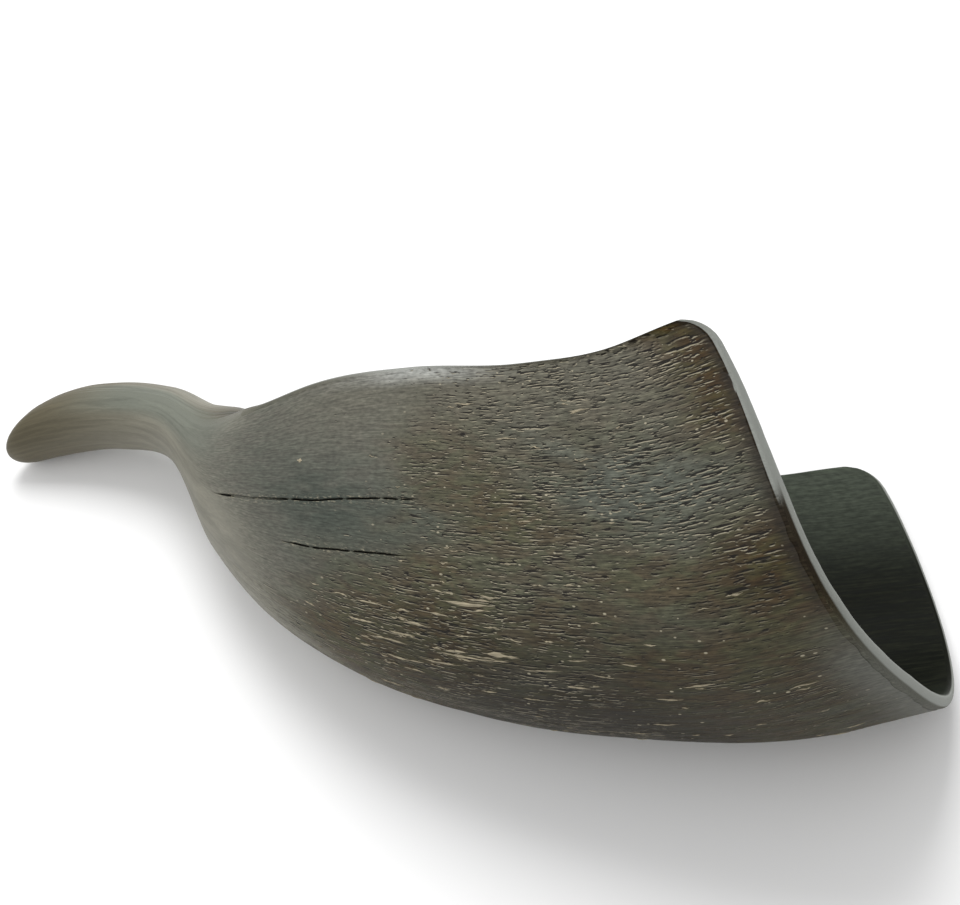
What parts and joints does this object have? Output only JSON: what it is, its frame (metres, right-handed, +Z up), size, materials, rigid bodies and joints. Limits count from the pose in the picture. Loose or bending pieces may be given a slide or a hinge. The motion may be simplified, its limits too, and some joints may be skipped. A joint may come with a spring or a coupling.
{
  "type": "horn scoop",
  "caption": "Scoop carved from one natural horn: a curled solid tip as the handle and a deep bowl, open along its top and at its slanted mouth.",
  "frame": {"origin": "on the small worn flat of the far side that the scoop lies on, under the lowest point of the sheath before the flat is cut", "axes": "+X along the horn from the handle to the mouth; +Z up, away from the surface that it lies on; the bowl's opening faces +Y"},
  "size_m": [0.2408, 0.082, 0.0907],
  "materials": {
    "scraped_horn": "scraped smooth, satin",
    "weathered_horn": "rough, with growth lines and pits",
    "dark_horn": "satin"
  },
  "bodies": {
    "root": {"tip_handle": "scraped_horn", "outer_sheath": "weathered_horn", "inner_sheath": "dark_horn"}
  },
  "joints": []
}
